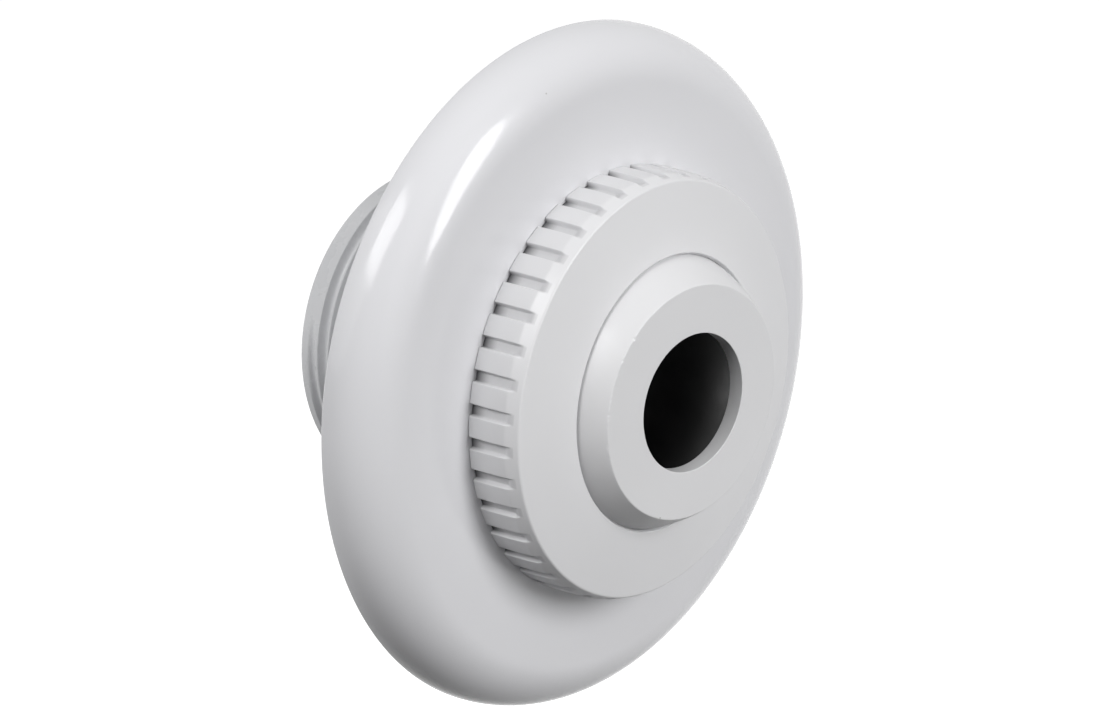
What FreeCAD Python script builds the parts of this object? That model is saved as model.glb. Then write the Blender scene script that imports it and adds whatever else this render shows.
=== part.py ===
import FreeCAD, Part
import math
import os

# Pool inlet nozzle: a threaded body, a wall flange, a fluted retaining ring and a hollow eyeball.
# Millimetres, +Z up. The axis is Y, the nozzle looks along -Y and the pipe tail leaves along +Y.
# The origin is on the axis in the plane of the wall, where the flange's rim rests.

# Clearances
BODY_GAP = 0.30
BALL_FIT = 0.06
THREAD_FIT = 0.10
SPIGOT_GAP = 0.20

# Eyeball
BALL_R = 20.0
BALL_FACE_R = 16.09
BALL_WALL = 2.3
BALL_REAR_CUT = 12.0
BALL_EDGE_BREAK = 0.20
BALL_TILT_DEG = -5.0
BALL_SET_BACK = 5.70
JET_R = 9.525

# Wall flange
FLANGE_R = 48.36
FLANGE_DEPTH = 7.70
FLANGE_WALL = 2.40
FLANGE_RIM_BREAK = 0.40

# Retaining ring
RING_LAP = 2.65
RING_DEPTH = 7.38
RING_SIDE_DRAFT = 0.35
RING_SHOULDER_BACK = 1.80
RING_SHOULDER_DROP = 0.74
RING_FACE_RISE = 1.38
RING_MOUTH_GAP = 0.55
SKIRT_WALL = 3.94
SKIRT_LENGTH = 4.80
FLUTE_COUNT = 42
FLUTE_WIDTH = 1.40
FLUTE_DEPTH = 0.60
FLUTE_START_BACK = 1.25
FLUTE_FIRST_DEG = 96.6
FLUTE_CUT_SPARE = 1.0

# Body
TAIL_R = 23.80
TAIL_LENGTH = 31.34
TAIL_WALL = 4.40
TAIL_END_CHAMFER = 0.60
TAIL_BORE_CHAMFER = 0.50
SEAT_LIP = 2.56
SEAT_LAND = 2.50
SEAT_CONE = 2.00
COLLAR_WALL = 2.90
COLLAR_BACK = 0.40
HEAD_SHELF = 6.00
HEAD_EDGE_BREAK = 0.50

# Radii that follow from the sizes above
SEAT_R = BALL_R + BALL_FIT
SKIRT_R = SEAT_R + SKIRT_WALL
SOCKET_R = SKIRT_R + THREAD_FIT
COLLAR_R = SOCKET_R + COLLAR_WALL
FLANGE_HOLE_R = COLLAR_R + SPIGOT_GAP
HEAD_R = COLLAR_R + HEAD_SHELF
RING_REAR_R = FLANGE_HOLE_R + RING_LAP
RING_SHOULDER_R = RING_REAR_R - RING_SIDE_DRAFT
RING_FACE_R = RING_SHOULDER_R - RING_SHOULDER_DROP
SEAT_BORE_R = SEAT_R - SEAT_LIP
TAIL_BORE_R = TAIL_R - TAIL_WALL

# Places along the axis that follow from the sizes above, from the wall outwards
HEAD_REAR_Y = -BODY_GAP
FLANGE_UNDERSIDE_Y = FLANGE_WALL - FLANGE_DEPTH
FLANGE_FACE_Y = -FLANGE_DEPTH
COLLAR_FRONT_Y = FLANGE_FACE_Y + COLLAR_BACK
RING_REAR_Y = FLANGE_FACE_Y - BODY_GAP
RING_FACE_Y = RING_REAR_Y - RING_DEPTH
RING_FRONT_Y = RING_FACE_Y - RING_FACE_RISE
SKIRT_END_Y = RING_REAR_Y + SKIRT_LENGTH
SOCKET_FLOOR_Y = SKIRT_END_Y + BODY_GAP
BALL_CENTRE_Y = RING_FACE_Y + BALL_SET_BACK
BALL_FACE_AHEAD = math.sqrt(BALL_R ** 2 - BALL_FACE_R ** 2)

# The ring's mouth clears the ball by a named gap where the ball passes through it
RING_HOLE_R = math.sqrt(BALL_R ** 2 - (RING_FRONT_Y - BALL_CENTRE_Y) ** 2) + RING_MOUTH_GAP


def turned(start, steps, closing_middle=None):
    """Solid turned about the Y axis from a closed profile of (radius, y) points.

    A step is a point, or an arc given as (middle, end). The profile closes with a line, or with
    an arc through closing_middle.
    """
    closing = start if closing_middle is None else (closing_middle, start)
    edges = []
    here = start
    for step in steps + [closing]:
        if isinstance(step[0], tuple):
            middle, end = step
            edges.append(Part.Arc(at(here), at(middle), at(end)).toShape())
            here = end
        else:
            edges.append(Part.makeLine(at(here), at(step)))
            here = step
    face = Part.Face(Part.Wire(edges))
    return face.revolve(FreeCAD.Vector(0, 0, 0), FreeCAD.Vector(0, 1, 0), 360)


def at(point):
    """Profile point (radius, y) in the XY plane."""
    return FreeCAD.Vector(point[0], point[1], 0)


def on_sphere(radius, centre_y, y):
    """Profile point of a sphere on the axis, at the given y."""
    return (math.sqrt(radius ** 2 - (y - centre_y) ** 2), y)


def sphere_at_radius(radius, centre_y, r, side):
    """Profile point of a sphere at distance r from the axis; side -1 is in front of its centre, +1 behind."""
    return (r, centre_y + side * math.sqrt(radius ** 2 - r ** 2))


def save(shape, node):
    """Write one node as a STEP file."""
    shape.exportStep("parts/" + node + ".step")


def make_body():
    """Body: head behind the flange, collar with the ring's socket, ball seat and pipe tail."""
    seat_top = on_sphere(SEAT_R, BALL_CENTRE_Y, SOCKET_FLOOR_Y)
    seat_end = sphere_at_radius(SEAT_R, BALL_CENTRE_Y, SEAT_BORE_R, 1)
    seat_middle = on_sphere(SEAT_R, BALL_CENTRE_Y, (seat_top[1] + seat_end[1]) / 2)
    land_end_y = seat_end[1] + SEAT_LAND
    steps = [
        (COLLAR_R, COLLAR_FRONT_Y),
        (COLLAR_R, FLANGE_UNDERSIDE_Y),
        (HEAD_R - HEAD_EDGE_BREAK, FLANGE_UNDERSIDE_Y),
        (HEAD_R, FLANGE_UNDERSIDE_Y + HEAD_EDGE_BREAK),
        (HEAD_R, HEAD_REAR_Y),
        (TAIL_R, HEAD_REAR_Y),
        (TAIL_R, TAIL_LENGTH - TAIL_END_CHAMFER),
        (TAIL_R - TAIL_END_CHAMFER, TAIL_LENGTH),
        (TAIL_BORE_R + TAIL_BORE_CHAMFER, TAIL_LENGTH),
        (TAIL_BORE_R, TAIL_LENGTH - TAIL_BORE_CHAMFER),
        (TAIL_BORE_R, land_end_y + SEAT_CONE),
        (SEAT_BORE_R, land_end_y),
        seat_end,
        (seat_middle, seat_top),
        (SOCKET_R, SOCKET_FLOOR_Y),
    ]
    return turned((SOCKET_R, COLLAR_FRONT_Y), steps)


def make_flange():
    """Wall flange: flat face, edge rolled in one quarter circle down to the wall, open back."""
    roll_centre_r = FLANGE_R - FLANGE_DEPTH
    inner_roll_r = FLANGE_DEPTH - FLANGE_WALL
    half = math.sqrt(0.5)
    roll_start = (roll_centre_r + math.sqrt(FLANGE_DEPTH ** 2 - FLANGE_RIM_BREAK ** 2), -FLANGE_RIM_BREAK)
    outer_middle = (roll_centre_r + FLANGE_DEPTH * half, -FLANGE_DEPTH * half)
    inner_middle = (roll_centre_r + inner_roll_r * half, -inner_roll_r * half)
    steps = [
        (FLANGE_R - FLANGE_RIM_BREAK, 0.0),
        (roll_centre_r + inner_roll_r, 0.0),
        (inner_middle, (roll_centre_r, FLANGE_UNDERSIDE_Y)),
        (FLANGE_HOLE_R, FLANGE_UNDERSIDE_Y),
        (FLANGE_HOLE_R, FLANGE_FACE_Y),
        (roll_centre_r, FLANGE_FACE_Y),
    ]
    return turned(roll_start, steps, outer_middle)


def make_ring():
    """Retaining ring: dished face, bevelled shoulder, fluted side, ball seat and skirt."""
    mouth_end = sphere_at_radius(SEAT_R, BALL_CENTRE_Y, RING_HOLE_R, -1)
    seat_middle = on_sphere(SEAT_R, BALL_CENTRE_Y, (mouth_end[1] + BALL_CENTRE_Y) / 2)
    steps = [
        (RING_FACE_R, RING_FACE_Y),
        (RING_SHOULDER_R, RING_FACE_Y + RING_SHOULDER_BACK),
        (RING_REAR_R, RING_REAR_Y),
        (SKIRT_R, RING_REAR_Y),
        (SKIRT_R, SKIRT_END_Y),
        (SEAT_R, SKIRT_END_Y),
        (SEAT_R, BALL_CENTRE_Y),
        (seat_middle, mouth_end),
    ]
    blank = turned((RING_HOLE_R, RING_FRONT_Y), steps)
    return blank.cut(Part.makeCompound(flute_cutters()))


def flute_cutters():
    """Boxes that cut the flutes: floors parallel to the ring's drafted side, open at its rear edge."""
    draft = RING_SIDE_DRAFT / (RING_DEPTH - RING_SHOULDER_BACK)
    start_r = RING_SHOULDER_R - FLUTE_DEPTH - (RING_SHOULDER_BACK - FLUTE_START_BACK) * draft
    start = FreeCAD.Vector(start_r, RING_FACE_Y + FLUTE_START_BACK, -FLUTE_WIDTH / 2)
    length = RING_DEPTH - FLUTE_START_BACK + FLUTE_CUT_SPARE
    cutters = []
    for index in range(FLUTE_COUNT):
        cutter = Part.makeBox(FLUTE_DEPTH + FLUTE_CUT_SPARE, length, FLUTE_WIDTH, start)
        cutter.rotate(start, FreeCAD.Vector(0, 0, 1), -math.degrees(math.atan(draft)))
        # A turn by a negative angle about +Y carries +X towards +Z
        turn = -(FLUTE_FIRST_DEG + index * 360.0 / FLUTE_COUNT)
        cutter.rotate(FreeCAD.Vector(0, 0, 0), FreeCAD.Vector(0, 1, 0), turn)
        cutters.append(cutter)
    return cutters


def make_ball():
    """Eyeball: hollow ball, cut flat in front round the jet opening, open behind, tilted as it rests."""
    inner_r = BALL_R - BALL_WALL
    inside_front_y = -(BALL_FACE_AHEAD - BALL_WALL)
    steps = [
        (BALL_FACE_R - BALL_EDGE_BREAK, -BALL_FACE_AHEAD),
        sphere_at_radius(BALL_R, 0.0, BALL_FACE_R + BALL_EDGE_BREAK, -1),
        ((BALL_R, 0.0), on_sphere(BALL_R, 0.0, BALL_REAR_CUT)),
        on_sphere(inner_r, 0.0, BALL_REAR_CUT),
        ((inner_r, 0.0), on_sphere(inner_r, 0.0, inside_front_y)),
        (JET_R, inside_front_y),
    ]
    ball = turned((JET_R, -BALL_FACE_AHEAD), steps)
    ball.rotate(FreeCAD.Vector(0, 0, 0), FreeCAD.Vector(0, 0, 1), BALL_TILT_DEG)
    ball.translate(FreeCAD.Vector(0, BALL_CENTRE_Y, 0))
    return ball


os.makedirs("parts", exist_ok=True)
save(make_body(), "threaded_body")
save(make_flange(), "wall_flange")
save(make_ring(), "retaining_ring")
save(make_ball(), "eyeball")
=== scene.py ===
import math

import bmesh
import bpy
import numpy as np
from mathutils import Matrix, Vector


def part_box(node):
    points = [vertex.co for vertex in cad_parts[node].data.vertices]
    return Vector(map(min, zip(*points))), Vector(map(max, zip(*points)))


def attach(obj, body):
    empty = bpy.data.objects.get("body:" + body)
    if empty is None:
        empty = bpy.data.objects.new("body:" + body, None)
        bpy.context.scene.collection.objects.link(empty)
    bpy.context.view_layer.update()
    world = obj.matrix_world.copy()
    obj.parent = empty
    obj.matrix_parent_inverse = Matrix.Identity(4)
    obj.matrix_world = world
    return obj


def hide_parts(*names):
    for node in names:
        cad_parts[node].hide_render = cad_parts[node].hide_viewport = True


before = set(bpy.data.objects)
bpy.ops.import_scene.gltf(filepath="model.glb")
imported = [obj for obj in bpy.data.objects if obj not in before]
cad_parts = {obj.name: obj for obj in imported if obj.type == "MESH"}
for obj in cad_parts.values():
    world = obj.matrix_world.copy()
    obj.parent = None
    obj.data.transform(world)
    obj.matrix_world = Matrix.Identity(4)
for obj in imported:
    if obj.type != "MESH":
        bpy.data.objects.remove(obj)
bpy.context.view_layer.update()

# Pool inlet nozzle in white plastic: body with pipe thread, glossy wall flange, fluted ring, eyeball.
# Shapes are worked out in millimetres round the Y axis, nozzle end towards -Y, and stored in metres.
MM = 0.001


def box_mm(node):
    """Lowest and highest corner of a CAD node, in millimetres."""
    low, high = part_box(node)
    return np.array(low) / MM, np.array(high) / MM


flange_low, flange_high = box_mm("wall_flange")
ring_low, ring_high = box_mm("retaining_ring")
body_low, body_high = box_mm("threaded_body")

# Wall flange
FLANGE_R = flange_high[2]
FLANGE_DEPTH = -flange_low[1]
FLANGE_WALL = 2.40
FLANGE_HOLE_R = 27.20
FLANGE_RIM_BREAK = 0.40

# Retaining ring; its side is drawn up to a fine seam on the flange
RING_SEAM = 0.05
RING_REAR_R = ring_high[2]
RING_REAR_Y = -FLANGE_DEPTH - 0.30
RING_SEAM_Y = -FLANGE_DEPTH - RING_SEAM
RING_FACE_Y = RING_REAR_Y - 7.38
RING_FRONT_Y = ring_low[1]
RING_SHOULDER_R = RING_REAR_R - 0.35
RING_SHOULDER_Y = RING_FACE_Y + 1.80
RING_FACE_R = RING_SHOULDER_R - 0.74
RING_HOLE_R = 19.25
RING_LIP_R = 18.95
RING_CROWN = 0.06
SKIRT_R = 24.00
SKIRT_END_Y = ring_high[1]
FLUTE_COUNT = 42
FLUTE_WIDTH = 1.40
FLUTE_DEPTH = 0.60
FLUTE_WALL_RUN = 0.36
FLUTE_START_Y = RING_FACE_Y + 0.75
FLUTE_START_RUN = 1.60
FLUTE_FIRST_DEG = 96.6

# Eyeball and the seats that hold it
BALL_R = 20.00
BALL_CENTRE_Y = RING_FACE_Y + 5.70
BALL_TILT_DEG = -5.0
BALL_FACE_R = 16.09
BALL_FACE_AHEAD = math.sqrt(BALL_R ** 2 - BALL_FACE_R ** 2)
BALL_WALL = 2.30
BALL_REAR_CUT = 12.00
JET_R = 9.525
SEAT_R = BALL_R + 0.06

# Body
TAIL_R = 23.80
TAIL_END_Y = body_high[1]
TAIL_BORE_R = 19.40
SEAT_BORE_R = 17.50
HEAD_R = body_high[2]
HEAD_REAR_Y = -0.30
COLLAR_R = 27.00
COLLAR_FRONT_Y = body_low[1]
SOCKET_R = 24.10
SOCKET_FLOOR_Y = SKIRT_END_Y + 0.30

# Pipe thread, 11.5 turns to the inch, right-handed
THREAD_PITCH = 25.4 / 11.5
THREAD_DEPTH = 1.10
THREAD_ROOT_HALF = 0.30
THREAD_FLANK_SLOPE = 1.732
THREAD_START_DEG = 165.0
THREAD_START_BACK = 2.65
THREAD_END_Y = 1.60

# Columns of points round each turned piece
FLANGE_COLUMNS = 480
BALL_COLUMNS = 720
BODY_COLUMNS = 320

# How far from its circle a worn edge is drawn in
WEAR_REACH = 0.15

# Shade painted into the flutes: how far its darkest part reaches forward from the rear, and its share on
# the rest of the floor
PAINTED_SHADE_REACH = 2.40
PAINTED_SHADE_FLOOR_SHARE = 0.15

# Floor, in metres: height, half its width, and the distances over which its glow rises
FLOOR_Z = -0.20
FLOOR_HALF = 6.0
GLOW_FROM = 0.16
GLOW_TO = 0.31

# Camera, as the photograph was taken
IMAGE_WIDTH = 1100
FOCAL_PX = 2133.8
SENSOR_MM = 36.0
CAMERA_MM = (-213.5, -186.4, 91.0)
CAMERA_BACK = (-0.70964, -0.63652, 0.30207)


def arc(centre_r, centre_y, radius, start_deg, end_deg, steps):
    """Points (r, y) of a circle round a centre; 0 degrees is outwards, -90 towards the front."""
    angle = np.radians(np.linspace(start_deg, end_deg, steps))
    return np.stack([centre_r + radius * np.cos(angle), centre_y + radius * np.sin(angle)], axis=1)


def softened(points, radii, steps=6, guard=0.06):
    """Closed profile with each corner rounded to its radius.

    A corner is replaced by a quadratic curve that leaves the two sides at equal distances from it.
    A guard point on each side keeps the shading of the flat that follows true to its plane.
    """
    points = np.asarray(points, float)
    out = []
    count = len(points)
    for index in range(count):
        here = points[index]
        reach = radii[index]
        if reach == 0:
            out.append(here)
            continue
        before = points[index - 1] - here
        after = points[(index + 1) % count] - here
        reach = min(reach, 0.45 * np.hypot(*before), 0.45 * np.hypot(*after))
        before_unit = before / np.hypot(*before)
        after_unit = after / np.hypot(*after)
        out.append(here + before_unit * (reach + guard))
        t = np.linspace(0.0, 1.0, steps)[:, None]
        start = here + before_unit * reach
        end = here + after_unit * reach
        out.extend((1 - t) ** 2 * start + 2 * t * (1 - t) * here + t ** 2 * end)
        out.append(here + after_unit * (reach + guard))
    return np.array(out)


def turned_grid(profile, angles):
    """Surface of revolution about Y: x = r cos, z = r sin of the angle. Rows follow the profile."""
    r = profile[:, 0][:, None]
    y = np.broadcast_to(profile[:, 1][:, None], (len(profile), len(angles)))
    return np.stack([r * np.cos(angles), y, r * np.sin(angles)], axis=2)


def quads_of(rows, columns, wrap_rows):
    """Corner numbers of the quads of a grid that closes round its columns, and their corner columns."""
    row = np.arange(rows if wrap_rows else rows - 1)
    col = np.arange(columns)
    row, col = [a.ravel() for a in np.meshgrid(row, col, indexing="ij")]
    row_next = (row + 1) % rows
    col_next = (col + 1) % columns
    quads = np.stack([
        row * columns + col,
        row * columns + col_next,
        row_next * columns + col_next,
        row_next * columns + col], axis=1)
    return quads, row, col


def corner_uv(row, col, rows, columns):
    """UV of each quad's corners: share of a turn, share of the rows."""
    u = np.stack([col, col + 1, col + 1, col], axis=1) / columns
    v = np.stack([row, row, row + 1, row + 1], axis=1) / rows
    return np.stack([u, v], axis=2)


def volume_of(points, quads):
    """Signed volume: a sixth of the triple products of the corners of each quad's two triangles."""
    a, b, c, d = [points[quads[:, k]] for k in range(4)]
    first = np.einsum("ij,ij->i", a, np.cross(b, c))
    second = np.einsum("ij,ij->i", a, np.cross(c, d))
    return (first + second).sum() / 6


def store(name, grid):
    """Mesh object from a grid of points in millimetres, smooth, faces outwards, with a UV map.

    U is the angle as a share of a turn and V the row as a share of the rows.
    """
    rows, columns = grid.shape[:2]
    points = grid.reshape(-1, 3) * MM
    quads, row, col = quads_of(rows, columns, True)
    uv = corner_uv(row, col, rows, columns)
    if volume_of(points, quads) < 0:
        quads, uv = quads[:, ::-1], uv[:, ::-1]
    return stored_mesh(name, points, quads, uv)


def stored_mesh(name, points, quads, uv):
    """Object with the given corners, quads and UV corners; it sits at the origin."""
    mesh = bpy.data.meshes.new(name)
    mesh.vertices.add(len(points))
    mesh.vertices.foreach_set("co", np.ascontiguousarray(points, dtype=np.float32).ravel())
    mesh.loops.add(quads.size)
    mesh.loops.foreach_set("vertex_index", np.ascontiguousarray(quads, dtype=np.int32).ravel())
    mesh.polygons.add(len(quads))
    mesh.polygons.foreach_set("loop_start", np.arange(0, quads.size, 4, dtype=np.int32))
    mesh.polygons.foreach_set("loop_total", np.full(len(quads), 4, dtype=np.int32))
    mesh.update(calc_edges=True)
    layer = mesh.uv_layers.new(name="turn")
    layer.data.foreach_set("uv", np.ascontiguousarray(uv, dtype=np.float32).ravel())
    mesh.polygons.foreach_set("use_smooth", np.ones(len(quads), dtype=bool))
    mesh.validate()
    piece = bpy.data.objects.new(name, mesh)
    bpy.context.scene.collection.objects.link(piece)
    return piece


def even_angles(columns):
    """Angles round the axis, evenly spaced."""
    return np.arange(columns) * 2 * math.pi / columns


def nicks(angles, centre_deg, spread_deg, count, depth, seed):
    """Small dents along an edge: narrow bells of random width and depth round random angles."""
    dice = np.random.default_rng(seed)
    places = np.radians(centre_deg + spread_deg * dice.uniform(-1, 1, count))
    widths = np.radians(dice.uniform(0.25, 0.9, count))
    depths = depth * dice.uniform(0.3, 1.0, count) ** 1.5
    apart = np.angle(np.exp(1j * (angles[:, None] - places)))
    return (depths * np.exp(-(apart / widths) ** 2)).sum(axis=1)


def dented(grid, edge_r, edge_y, dents):
    """Grid with its points near the circle (edge_r, edge_y) drawn inwards and back by the dents."""
    r = np.hypot(grid[..., 0], grid[..., 2])
    near = np.exp(-((r - edge_r) ** 2 + (grid[..., 1] - edge_y) ** 2) / WEAR_REACH ** 2)
    pull = near * dents
    shrink = 1 - pull / r
    out = grid.copy()
    out[..., 0] *= shrink
    out[..., 2] *= shrink
    out[..., 1] += 0.7 * pull
    return out


# Wall flange

def flange_profile():
    """Flat face, quarter-circle edge down to the wall plane, and the same shape one wall further in."""
    roll_r = FLANGE_R - FLANGE_DEPTH
    inner = FLANGE_DEPTH - FLANGE_WALL
    outer_roll = arc(roll_r, 0, FLANGE_DEPTH, -90, -3, 40)
    inner_roll = arc(roll_r, 0, inner, 0, -90, 24)
    rim = [(FLANGE_R - FLANGE_RIM_BREAK, 0.0)]
    hole = [(FLANGE_HOLE_R, -inner), (FLANGE_HOLE_R, -FLANGE_DEPTH)]
    points = np.concatenate([outer_roll, rim, inner_roll, hole])
    radii = [0.0] * len(points)
    radii[len(outer_roll) - 1] = 0.15
    radii[len(outer_roll)] = 0.15
    radii[len(outer_roll) + 1] = 0.20
    radii[-2] = 0.15
    radii[-1] = 0.25
    return softened(points, radii)


def make_flange():
    """Wall flange, turned from its profile."""
    piece = store("flange_shell", turned_grid(flange_profile(), even_angles(FLANGE_COLUMNS)))
    piece.data.materials.append(glossy_flange_plastic())
    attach(piece, "fixed")
    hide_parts("wall_flange")


# Retaining ring

def flute_angles():
    """Angles round the ring: close together at the two walls of each flute, wider on floor and land."""
    pitch = 2 * math.pi / FLUTE_COUNT
    half = FLUTE_WIDTH / 2 / RING_SHOULDER_R
    wall = np.linspace(half - 0.0072, half + 0.0072, 9)
    land = np.linspace(half + 0.013, pitch / 2, 5)
    one_side = np.concatenate([[half * 0.5], wall, land])
    across = np.concatenate([-one_side[:-1][::-1], [0.0], one_side])
    first = math.radians(FLUTE_FIRST_DEG)
    return (first + np.arange(FLUTE_COUNT)[:, None] * pitch + across).ravel()


def flute_share(angles):
    """How much of the flute's depth is cut at each angle: 1 on its floor, 0 on the lands between."""
    pitch = 2 * math.pi / FLUTE_COUNT
    off = (angles - math.radians(FLUTE_FIRST_DEG) + pitch / 2) % pitch - pitch / 2
    run = (np.abs(off) * RING_SHOULDER_R - FLUTE_WIDTH / 2) / FLUTE_WALL_RUN
    rise = np.clip(run + 0.5, 0, 1)
    return 1 - rise * rise * (3 - 2 * rise)


def ring_profile():
    """Closed profile of the ring: face, bevel, drafted side, rear, skirt, ball seat and mouth."""
    seat_mouth_y = BALL_CENTRE_Y - math.sqrt(SEAT_R ** 2 - RING_LIP_R ** 2)
    seat_start = math.degrees(math.atan2(seat_mouth_y - BALL_CENTRE_Y, RING_LIP_R))
    seat = arc(0, BALL_CENTRE_Y, SEAT_R, 0, seat_start, 12)
    side_y = np.linspace(RING_SHOULDER_Y + 0.55, RING_SEAM_Y - 0.35, 9)
    share = (side_y - RING_SHOULDER_Y) / (RING_REAR_Y - RING_SHOULDER_Y)
    crown = RING_CROWN * 4 * share * (1 - share)
    side_r = RING_SHOULDER_R + share * (RING_REAR_R - RING_SHOULDER_R) + crown
    side = np.stack([side_r, side_y], axis=1)
    bevel_y = np.linspace(RING_FACE_Y + 0.45, RING_SHOULDER_Y - 0.55, 6)
    share = (bevel_y - RING_FACE_Y) / (RING_SHOULDER_Y - RING_FACE_Y)
    bevel = np.stack([RING_FACE_R + share * (RING_SHOULDER_R - RING_FACE_R), bevel_y], axis=1)
    slope = (RING_FACE_Y - RING_FRONT_Y) / (RING_FACE_R - RING_HOLE_R)
    face_r = np.array([0.5, 0.9, 1.6, 4.0, 7.0])[::-1]
    face = np.stack([RING_FACE_R - face_r, RING_FACE_Y - face_r * slope], axis=1)
    parts = [
        [(RING_HOLE_R, RING_FRONT_Y)],
        face,
        [(RING_FACE_R, RING_FACE_Y)],
        bevel,
        [(RING_SHOULDER_R, RING_SHOULDER_Y)],
        side,
        [(RING_REAR_R, RING_SEAM_Y), (SKIRT_R, RING_SEAM_Y), (SKIRT_R, SKIRT_END_Y), (SEAT_R, SKIRT_END_Y)],
        seat]
    points = np.concatenate([np.asarray(part, float) for part in parts])
    radii = np.zeros(len(points))
    radii[0] = 0.12
    radii[1 + len(face)] = 0.22
    shoulder = 2 + len(face) + len(bevel)
    radii[shoulder] = 0.36
    rear = shoulder + 1 + len(side)
    radii[rear] = 0.08
    radii[rear + 2] = 0.30
    radii[rear + 3] = 0.15
    return softened(points, radii, steps=5, guard=0.04)


def ring_grid():
    """Turned ring with its flutes: inside a flute the radius drops to a floor parallel to the side."""
    angles = flute_angles()
    grid = turned_grid(ring_profile(), angles)
    r = np.hypot(grid[..., 0], grid[..., 2])
    y = grid[..., 1]
    draft = (RING_REAR_R - RING_SHOULDER_R) / (RING_REAR_Y - RING_SHOULDER_Y)
    floor = RING_SHOULDER_R - FLUTE_DEPTH + draft * (y - RING_SHOULDER_Y)
    end = np.clip((y - FLUTE_START_Y) / FLUTE_START_RUN, 0, 1)
    end = end * end * (3 - 2 * end)
    outside = (r > SKIRT_R + 3.5) & (y < RING_SEAM_Y + 0.01)
    drop = np.where(outside, np.clip(r - floor, 0, None) * end * flute_share(angles), 0.0)
    shrink = (r - drop) / r
    grid[..., 0] *= shrink
    grid[..., 2] *= shrink
    return dented(grid, RING_FACE_R, RING_FACE_Y, nicks(angles, 150, 180, 30, 0.035, 5))


def make_ring():
    """Retaining ring with its flutes, with shade painted into them, darkest at their rear ends by the
    flange.
    """
    grid = ring_grid()
    piece = store("fluted_ring", grid)
    y = grid[..., 1]
    # Painted shade: the flute floors are darkened strongly towards the flange and lightly along the rest of
    # their length.
    rearward = np.clip((y - RING_SEAM_Y) / PAINTED_SHADE_REACH + 1, 0, 1)
    amount = PAINTED_SHADE_FLOOR_SHARE + (1 - PAINTED_SHADE_FLOOR_SHARE) * rearward ** 1.4
    painted_flute_shade = flute_share(flute_angles()) * (y > FLUTE_START_Y) * amount
    shade = piece.data.attributes.new("painted_flute_shade", "FLOAT", "POINT")
    shade.data.foreach_set("value", painted_flute_shade.ravel().astype(np.float32))
    piece.data.materials.append(satin_ring_plastic())
    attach(piece, "ring")
    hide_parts("retaining_ring")


# Eyeball

def ball_profile():
    """Closed profile about the ball's own centre: sphere, flat face with the jet opening, hollow inside."""
    inner_r = BALL_R - BALL_WALL
    lip_y = -(BALL_FACE_AHEAD - BALL_WALL)
    rear_deg = math.degrees(math.asin(BALL_REAR_CUT / BALL_R))
    inner_rear_deg = math.degrees(math.asin(BALL_REAR_CUT / inner_r))
    face_deg = -math.degrees(math.asin(BALL_FACE_AHEAD / BALL_R))
    inner_face_deg = math.degrees(math.asin(lip_y / inner_r))
    outside = arc(0, 0, BALL_R, face_deg, rear_deg, 64)
    inside = arc(0, 0, inner_r, inner_rear_deg, inner_face_deg, 28)
    lip = [(JET_R, lip_y), (JET_R, -BALL_FACE_AHEAD)]
    face_r = np.array([JET_R + 0.4, JET_R + 1.0, BALL_FACE_R - 1.0, BALL_FACE_R - 0.5, BALL_FACE_R - 0.25])
    face = np.stack([face_r, np.full(len(face_r), -BALL_FACE_AHEAD)], axis=1)
    points = np.concatenate([outside, inside, lip, face])
    radii = np.zeros(len(points))
    radii[0] = 0.20
    radii[len(outside) - 1] = 0.20
    radii[len(outside)] = 0.15
    lip_start = len(outside) + len(inside)
    radii[lip_start - 1] = 0.40
    radii[lip_start] = 0.15
    radii[lip_start + 1] = 0.10
    return softened(points, radii, steps=6, guard=0.05)


def make_ball():
    """Hollow eyeball, worn along the edges of its face, with shade painted near black inside it, tilted as
    it rests and set at its centre.
    """
    angles = even_angles(BALL_COLUMNS)
    grid = turned_grid(ball_profile(), angles)
    worn_left = nicks(angles, 165, 40, 34, 0.08, 11)
    worn_all = nicks(angles, 0, 180, 40, 0.03, 12)
    grid = dented(grid, BALL_FACE_R, -BALL_FACE_AHEAD, worn_left + worn_all)
    # Painted shade: marks the hollow's inner wall, which is painted near black.
    inside = np.hypot(np.hypot(grid[..., 0], grid[..., 2]), grid[..., 1]) < BALL_R - BALL_WALL + 0.1
    inside &= np.hypot(grid[..., 0], grid[..., 2]) > JET_R + 0.3
    inside &= grid[..., 1] > -(BALL_FACE_AHEAD - BALL_WALL) - 0.05
    tilt = math.radians(BALL_TILT_DEG)
    x, y = grid[..., 0].copy(), grid[..., 1].copy()
    grid[..., 0] = x * math.cos(tilt) - y * math.sin(tilt)
    grid[..., 1] = x * math.sin(tilt) + y * math.cos(tilt) + BALL_CENTRE_Y
    piece = store("eyeball_jet", grid)
    shade = piece.data.attributes.new("inside", "FLOAT", "POINT")
    shade.data.foreach_set("value", inside.ravel().astype(np.float32))
    piece.data.materials.append(satin_ball_plastic())
    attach(piece, "ball")
    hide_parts("eyeball")


# Body with its pipe thread

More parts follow.
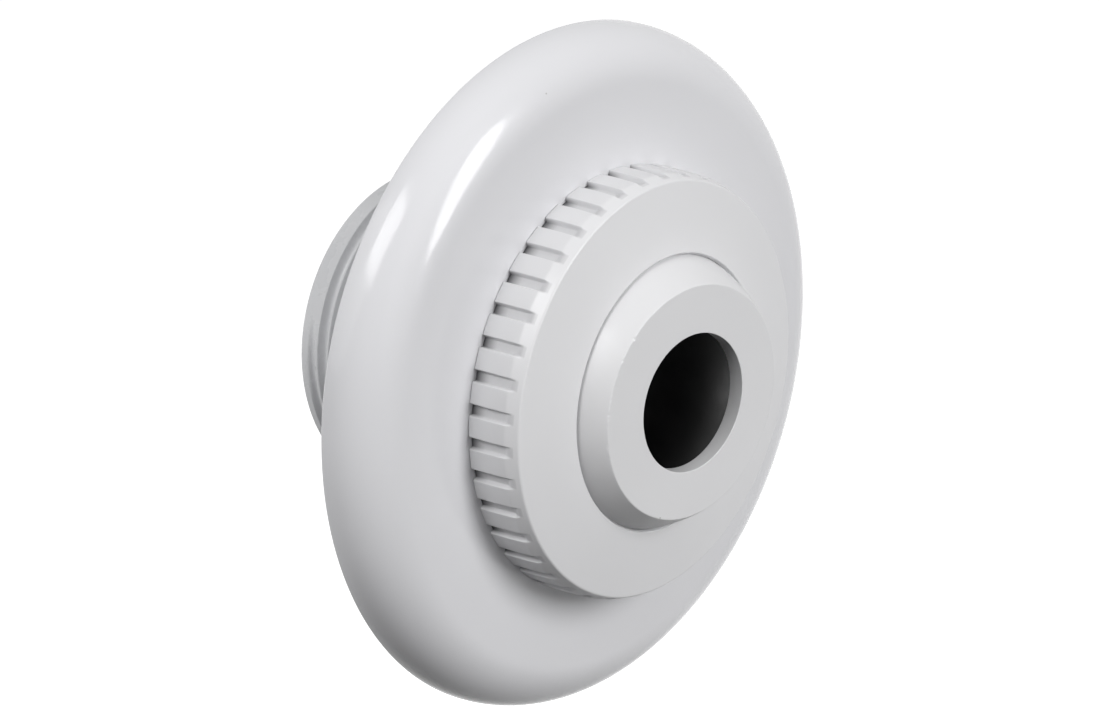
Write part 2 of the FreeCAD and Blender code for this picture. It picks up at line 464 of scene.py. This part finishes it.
def body_profile():
    """Open profile from the tail's end band, round the inside and the head, to the foot of the thread."""
    seat_end_y = BALL_CENTRE_Y + math.sqrt(SEAT_R ** 2 - SEAT_BORE_R ** 2)
    seat_from = math.degrees(math.asin((seat_end_y - BALL_CENTRE_Y) / SEAT_R))
    seat_to = math.degrees(math.asin((SOCKET_FLOOR_Y - BALL_CENTRE_Y) / SEAT_R))
    seat = arc(0, BALL_CENTRE_Y, SEAT_R, seat_from, seat_to, 10)
    underside_y = FLANGE_WALL - FLANGE_DEPTH
    corners = [
        (TAIL_R, TAIL_END_Y - 0.60, 0.25), (TAIL_R - 0.60, TAIL_END_Y, 0.20),
        (TAIL_BORE_R + 0.50, TAIL_END_Y, 0.20), (TAIL_BORE_R, TAIL_END_Y - 0.50, 0.20),
        (TAIL_BORE_R, seat_end_y + 4.50, 0.40), (SEAT_BORE_R, seat_end_y + 2.50, 0.30)]
    corners += [(r, y, 0.0) for r, y in seat]
    corners += [
        (SOCKET_R, SOCKET_FLOOR_Y, 0.20), (SOCKET_R, COLLAR_FRONT_Y, 0.20),
        (COLLAR_R, COLLAR_FRONT_Y, 0.20), (COLLAR_R, underside_y, 0.0),
        (HEAD_R - 0.50, underside_y, 0.15), (HEAD_R, underside_y + 0.50, 0.15),
        (HEAD_R, HEAD_REAR_Y, 0.25)]
    values = np.array(corners)
    first = [(TAIL_R, TAIL_END_Y - 1.20)]
    last = [(TAIL_R, HEAD_REAR_Y), (TAIL_R, HEAD_REAR_Y + 0.40)]
    points = np.concatenate([first, values[:, :2], last])
    radii = np.concatenate([[0.0], values[:, 2], [0.0, 0.0]])
    return softened(points, radii, steps=5, guard=0.05)


def thread_rows():
    """Offsets along the axis of the thread's rows: flank edges close together, crest and root wider."""
    flank = THREAD_DEPTH / THREAD_FLANK_SLOPE
    edge = THREAD_ROOT_HALF + flank
    side = [THREAD_ROOT_HALF * 0.7, THREAD_ROOT_HALF * 1.5, THREAD_ROOT_HALF + flank * 0.5,
            edge - 0.09, edge - 0.02, edge + 0.04, edge + 0.10]
    return np.array([0.0] + side + [THREAD_PITCH / 2] + [THREAD_PITCH - s for s in side[::-1]])


def thread_strip(angles):
    """Threaded outside of the tail, rows along the helix, clipped to two plain rings at its ends.

    A point's depth is how far it lies inside a V whose centre line is the helix. The V grows from
    nothing over the first part of a turn at the tail's end and fades again near the head.
    """
    low_y = HEAD_REAR_Y + 0.40
    high_y = TAIL_END_Y - 1.20
    one = thread_rows()
    length = high_y - low_y
    turns = int(math.ceil(length / THREAD_PITCH)) + 2
    offsets = (np.arange(turns)[:, None] * THREAD_PITCH + one).ravel()
    start = THREAD_START_BACK - THREAD_PITCH / 2
    back = start - THREAD_PITCH + offsets[:, None] + THREAD_PITCH * angles[None, :] / (2 * math.pi)
    y = np.clip(TAIL_END_Y - back, low_y, high_y)
    back = TAIL_END_Y - y
    centre = start + THREAD_PITCH * angles[None, :] / (2 * math.pi)
    turn = np.round((back - centre) / THREAD_PITCH)
    off = np.abs(back - centre - turn * THREAD_PITCH)
    travelled = np.degrees(angles)[None, :] - THREAD_START_DEG + 360 * turn
    grow = np.clip(travelled / 40.0, 0, 1)
    fade = np.clip((y - THREAD_END_Y) / 1.5, 0, 1)
    cut = THREAD_DEPTH * grow * (2 - grow) * fade
    depth = np.clip(cut - THREAD_FLANK_SLOPE * np.clip(off - THREAD_ROOT_HALF, 0, None), 0, None)
    r = TAIL_R - np.minimum(depth, cut)
    return np.stack([r * np.cos(angles), y, r * np.sin(angles)], axis=2), len(one)


def make_body():
    """Body: the turned part and the threaded strip, welded along their two shared rings."""
    angles = even_angles(BODY_COLUMNS)
    turned = turned_grid(body_profile(), angles)
    strip, rows_per_turn = thread_strip(angles)
    columns = len(angles)
    quads, row, col = quads_of(len(turned), columns, False)
    uv = corner_uv(row, col, len(turned), columns)
    strip_quads, strip_row, strip_col = quads_of(len(strip), columns, False)
    strip_uv = corner_uv(strip_row, strip_col, len(strip), columns)
    seam = strip_col == columns - 1
    shifted = strip_quads.copy()
    shifted[seam, 1:3] += rows_per_turn * columns
    keep = shifted.max(axis=1) < len(strip) * columns
    points = np.concatenate([turned.reshape(-1, 3), strip.reshape(-1, 3)]) * MM
    all_quads = np.concatenate([quads, shifted[keep][:, ::-1] + len(turned) * columns])
    all_uv = np.concatenate([uv, strip_uv[keep][:, ::-1]])
    piece = stored_mesh("threaded_inlet_body", points, all_quads, all_uv)
    weld(piece)
    piece.data.materials.append(satin_body_plastic())
    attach(piece, "fixed")
    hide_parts("threaded_body")


def weld(piece):
    """Merge doubled points, drop faces without area and turn all faces outwards."""
    work = bmesh.new()
    work.from_mesh(piece.data)
    bmesh.ops.remove_doubles(work, verts=work.verts, dist=2e-7)
    bmesh.ops.dissolve_degenerate(work, edges=work.edges, dist=1e-7)
    loose = [vert for vert in work.verts if not vert.link_faces]
    bmesh.ops.delete(work, geom=loose, context="VERTS")
    bmesh.ops.recalc_face_normals(work, faces=work.faces)
    work.to_mesh(piece.data)
    work.free()
    piece.data.polygons.foreach_set("use_smooth", np.ones(len(piece.data.polygons), dtype=bool))


# Materials

def new_material(name):
    """Node material, its node tree and its Principled shader."""
    material = bpy.data.materials.new(name)
    material.use_nodes = True
    tree = material.node_tree
    shader = tree.nodes["Principled BSDF"]
    return material, tree, shader


def add_node(tree, kind, **inputs):
    """Node of a kind with the given input values; a key's underscores stand for spaces."""
    node = tree.nodes.new(kind)
    for key, value in inputs.items():
        node.inputs[key.replace("_", " ")].default_value = value
    return node


def add_noise(tree, coordinates, scale, detail=3.0, roughness=0.5):
    """Noise texture on the given coordinates."""
    node = add_node(tree, "ShaderNodeTexNoise", Scale=scale, Detail=detail, Roughness=roughness)
    tree.links.new(coordinates, node.inputs["Vector"])
    return node


def spread(tree, value, low, high, out_low, out_high):
    """Map Range node from low..high to out_low..out_high, clamped."""
    node = add_node(
        tree, "ShaderNodeMapRange", From_Min=low, From_Max=high, To_Min=out_low, To_Max=out_high)
    tree.links.new(value, node.inputs["Value"])
    return node.outputs["Result"]


def moulded_plastic(name, colour, shade, roughness, rough_spread, peel, speck_share, ior):
    """White moulded plastic.

    Colour drifts slightly over centimetres and carries a few fine dark specks. Gloss drifts over
    millimetres. The skin has a faint orange peel and finer grain.
    """
    material, tree, shader = new_material(name)
    place = tree.nodes.new("ShaderNodeTexCoord").outputs["Object"]
    drift = add_noise(tree, place, 45.0, 1.0, 0.4)
    specks = add_node(tree, "ShaderNodeTexVoronoi", Scale=430.0, Randomness=1.0)
    tree.links.new(place, specks.inputs["Vector"])
    chosen = spread(tree, specks.outputs["Color"], 1 - speck_share, 1 - speck_share + 0.01, 0.0, 1.0)
    dot = spread(tree, specks.outputs["Distance"], 0.03, 0.07, 0.8, 0.0)
    speck = tree.nodes.new("ShaderNodeMath")
    speck.operation = "MULTIPLY"
    tree.links.new(chosen, speck.inputs[0])
    tree.links.new(dot, speck.inputs[1])
    ground = tree.nodes.new("ShaderNodeMix")
    ground.data_type = "RGBA"
    ground.inputs["A"].default_value = (*colour, 1)
    ground.inputs["B"].default_value = (*shade, 1)
    tree.links.new(spread(tree, drift.outputs["Fac"], 0.35, 0.65, 0.0, 1.0), ground.inputs["Factor"])
    dusted = tree.nodes.new("ShaderNodeMix")
    dusted.data_type = "RGBA"
    dusted.inputs["B"].default_value = (0.30, 0.29, 0.27, 1)
    tree.links.new(speck.outputs["Value"], dusted.inputs["Factor"])
    tree.links.new(ground.outputs["Result"], dusted.inputs["A"])
    tree.links.new(dusted.outputs["Result"], shader.inputs["Base Color"])
    gloss = add_noise(tree, place, 320.0, 3.0, 0.55)
    tree.links.new(
        spread(tree, gloss.outputs["Fac"], 0.3, 0.7, roughness - rough_spread, roughness + rough_spread),
        shader.inputs["Roughness"])
    grain = add_noise(tree, place, 1800.0, 2.0, 0.5)
    skin = add_noise(tree, place, 260.0, 2.0, 0.4)
    fine = add_node(tree, "ShaderNodeBump", Strength=0.25, Distance=0.00002)
    tree.links.new(grain.outputs["Fac"], fine.inputs["Height"])
    bump = add_node(tree, "ShaderNodeBump", Strength=1.0, Distance=peel)
    tree.links.new(skin.outputs["Fac"], bump.inputs["Height"])
    tree.links.new(fine.outputs["Normal"], bump.inputs["Normal"])
    tree.links.new(bump.outputs["Normal"], shader.inputs["Normal"])
    shader.inputs["IOR"].default_value = ior
    return material, tree, shader


def glossy_flange_plastic():
    """Cool white, polished by its mould: sharp reflections with a trace of orange peel."""
    material, _, _ = moulded_plastic(
        "glossy_flange_plastic", (0.705, 0.705, 0.725), (0.69, 0.69, 0.71),
        roughness=0.14, rough_spread=0.04, peel=0.000012, speck_share=0.07, ior=1.38)
    return material


def satin_ring_plastic():
    """Neutral white with a soft sheen, with shade painted dark into the flutes."""
    material, tree, shader = moulded_plastic(
        "satin_ring_plastic", (0.715, 0.715, 0.727), (0.70, 0.70, 0.712),
        roughness=0.35, rough_spread=0.06, peel=0.00002, speck_share=0.08, ior=1.42)
    # Painted shade in the flutes, near black.
    paint_shade_by(tree, shader, "painted_flute_shade", (0.03, 0.03, 0.035))
    return material


def paint_shade_by(tree, shader, attribute, colour):
    """Paint shade into the base colour: mix it towards a dark one by a point attribute."""
    white = shader.inputs["Base Color"].links[0].from_socket
    amount = tree.nodes.new("ShaderNodeAttribute")
    amount.attribute_name = attribute
    dark = tree.nodes.new("ShaderNodeMix")
    dark.data_type = "RGBA"
    dark.inputs["B"].default_value = (*colour, 1)
    tree.links.new(amount.outputs["Fac"], dark.inputs["Factor"])
    tree.links.new(white, dark.inputs["A"])
    tree.links.new(dark.outputs["Result"], shader.inputs["Base Color"])


def satin_ball_plastic():
    """Neutral white, a little duller than the ring, with shade painted near black inside the ball."""
    material, tree, shader = moulded_plastic(
        "satin_ball_plastic", (0.70, 0.70, 0.710), (0.685, 0.685, 0.695),
        roughness=0.38, rough_spread=0.06, peel=0.00002, speck_share=0.08, ior=1.42)
    # Painted shade: near black inside the hollow ball.
    paint_shade_by(tree, shader, "inside", (0.012, 0.012, 0.013))
    return material


def satin_body_plastic():
    """Greyer white of the threaded body."""
    material, _, _ = moulded_plastic(
        "satin_body_plastic", (0.64, 0.645, 0.66), (0.61, 0.615, 0.63),
        roughness=0.30, rough_spread=0.07, peel=0.00003, speck_share=0.10, ior=1.42)
    return material


# Studio

def soft_light(name, turn_deg, rise_deg, width, height, shape, power, roll_deg=0.0):
    """Area lamp a metre away that looks at the nozzle.

    turn_deg is its bearing from straight in front, towards +X, and rise_deg its height over level.
    """
    lamp = bpy.data.lights.new(name, "AREA")
    lamp.shape = shape
    lamp.size = width
    lamp.size_y = height
    lamp.energy = power
    turn = math.radians(turn_deg)
    rise = math.radians(rise_deg)
    place = Vector((math.sin(turn) * math.cos(rise), -math.cos(turn) * math.cos(rise), math.sin(rise)))
    rig = bpy.data.objects.new(name, lamp)
    aim = (-place).to_track_quat("-Z", "Y").to_matrix().to_4x4()
    rig.matrix_world = Matrix.Translation(place) @ aim @ Matrix.Rotation(math.radians(roll_deg), 4, "Z")
    bpy.context.scene.collection.objects.link(rig)


def make_lights():
    """A square soft box high on the left, a tall round one in front, and wide dim ones all round."""
    soft_light("square_soft_box", -85.0, 44.3, 0.43, 0.43, "SQUARE", 4.9, -18.0)
    soft_light("tall_soft_box", 10.0, 24.0, 0.36, 0.64, "ELLIPSE", 6.6)
    soft_light("front_fill", -4.0, 22.0, 1.30, 1.30, "DISK", 2.6)
    soft_light("left_fill", -112.0, 28.0, 0.90, 0.90, "DISK", 2.8)
    soft_light("rear_left_fill", -150.0, 0.0, 0.60, 0.60, "DISK", 1.0)
    soft_light("rear_fill", 180.0, 30.0, 0.60, 0.60, "DISK", 0.7)


def background_rays(tree):
    """1 for the rays that show the background: from the camera, mirrored, or through clear matter."""
    path = tree.nodes.new("ShaderNodeLightPath")
    shown = path.outputs["Is Camera Ray"]
    for other in ("Is Glossy Ray", "Is Transmission Ray"):
        either = tree.nodes.new("ShaderNodeMath")
        either.operation = "MAXIMUM"
        tree.links.new(shown, either.inputs[0])
        tree.links.new(path.outputs[other], either.inputs[1])
        shown = either.outputs[0]
    return shown


def make_world():
    """White where it is seen, dim grey as a lamp."""
    world = bpy.data.worlds.new("studio")
    bpy.context.scene.world = world
    world.use_nodes = True
    tree = world.node_tree
    out = tree.nodes["World Output"]
    dim = tree.nodes["Background"]
    dim.inputs["Color"].default_value = (0.5, 0.5, 0.52, 1)
    dim.inputs["Strength"].default_value = 0.01
    white = add_node(tree, "ShaderNodeBackground", Color=(1, 1, 1, 1), Strength=1.0)
    pick = tree.nodes.new("ShaderNodeMixShader")
    tree.links.new(background_rays(tree), pick.inputs[0])
    tree.links.new(dim.outputs[0], pick.inputs[1])
    tree.links.new(white.outputs[0], pick.inputs[2])
    tree.links.new(pick.outputs[0], out.inputs["Surface"])


def make_floor():
    """Pale floor under the nozzle. It is seen white and keeps a shadow; its bounce is dark.

    Its own glow starts beside the nozzle, so the shadow under it stays.
    """
    across = np.array([(-1, -1), (1, -1), (1, 1), (-1, 1)]) * FLOOR_HALF
    corners = np.column_stack([across, np.full(4, FLOOR_Z)])
    quads = np.array([[0, 1, 2, 3]])
    uv = np.array([[(0, 0), (1, 0), (1, 1), (0, 1)]], float)
    floor = stored_mesh("floor", corners, quads, uv)
    material = bpy.data.materials.new("pale_floor")
    material.use_nodes = True
    tree = material.node_tree
    tree.nodes.remove(tree.nodes["Principled BSDF"])
    out = tree.nodes["Material Output"]
    pale = add_node(tree, "ShaderNodeBsdfDiffuse", Color=(0.6, 0.6, 0.6, 1))
    glow = add_node(tree, "ShaderNodeEmission", Color=(1, 1, 1, 1))
    place = tree.nodes.new("ShaderNodeTexCoord").outputs["Object"]
    away = tree.nodes.new("ShaderNodeVectorMath")
    away.operation = "LENGTH"
    tree.links.new(place, away.inputs[0])
    rise = spread(tree, away.outputs["Value"], GLOW_FROM, GLOW_TO, 0.0, 1.0)
    tree.links.new(rise, glow.inputs["Strength"])
    seen = tree.nodes.new("ShaderNodeAddShader")
    dark = add_node(tree, "ShaderNodeBsdfDiffuse", Color=(0.03, 0.03, 0.03, 1))
    pick = tree.nodes.new("ShaderNodeMixShader")
    tree.links.new(pale.outputs[0], seen.inputs[0])
    tree.links.new(glow.outputs[0], seen.inputs[1])
    tree.links.new(background_rays(tree), pick.inputs[0])
    tree.links.new(dark.outputs[0], pick.inputs[1])
    tree.links.new(seen.outputs[0], pick.inputs[2])
    tree.links.new(pick.outputs[0], out.inputs["Surface"])
    floor.data.materials.append(material)


def make_camera():
    """Camera at the photograph's viewing angle, level, with its field of view."""
    lens = bpy.data.cameras.new("photo_camera")
    lens.sensor_fit = "HORIZONTAL"
    lens.sensor_width = SENSOR_MM
    lens.lens = FOCAL_PX / IMAGE_WIDTH * SENSOR_MM
    camera = bpy.data.objects.new("photo_camera", lens)
    back = Vector(CAMERA_BACK).normalized()
    right = Vector((0, 0, 1)).cross(back).normalized()
    up = back.cross(right)
    turn = Matrix((right, up, back)).transposed().to_4x4()
    camera.matrix_world = Matrix.Translation(Vector(CAMERA_MM) * MM) @ turn
    bpy.context.scene.collection.objects.link(camera)
    bpy.context.scene.camera = camera


make_camera()
make_world()
make_lights()
make_floor()
make_flange()
make_ring()
make_ball()
make_body()

bpy.context.scene.view_settings.view_transform = "Standard"
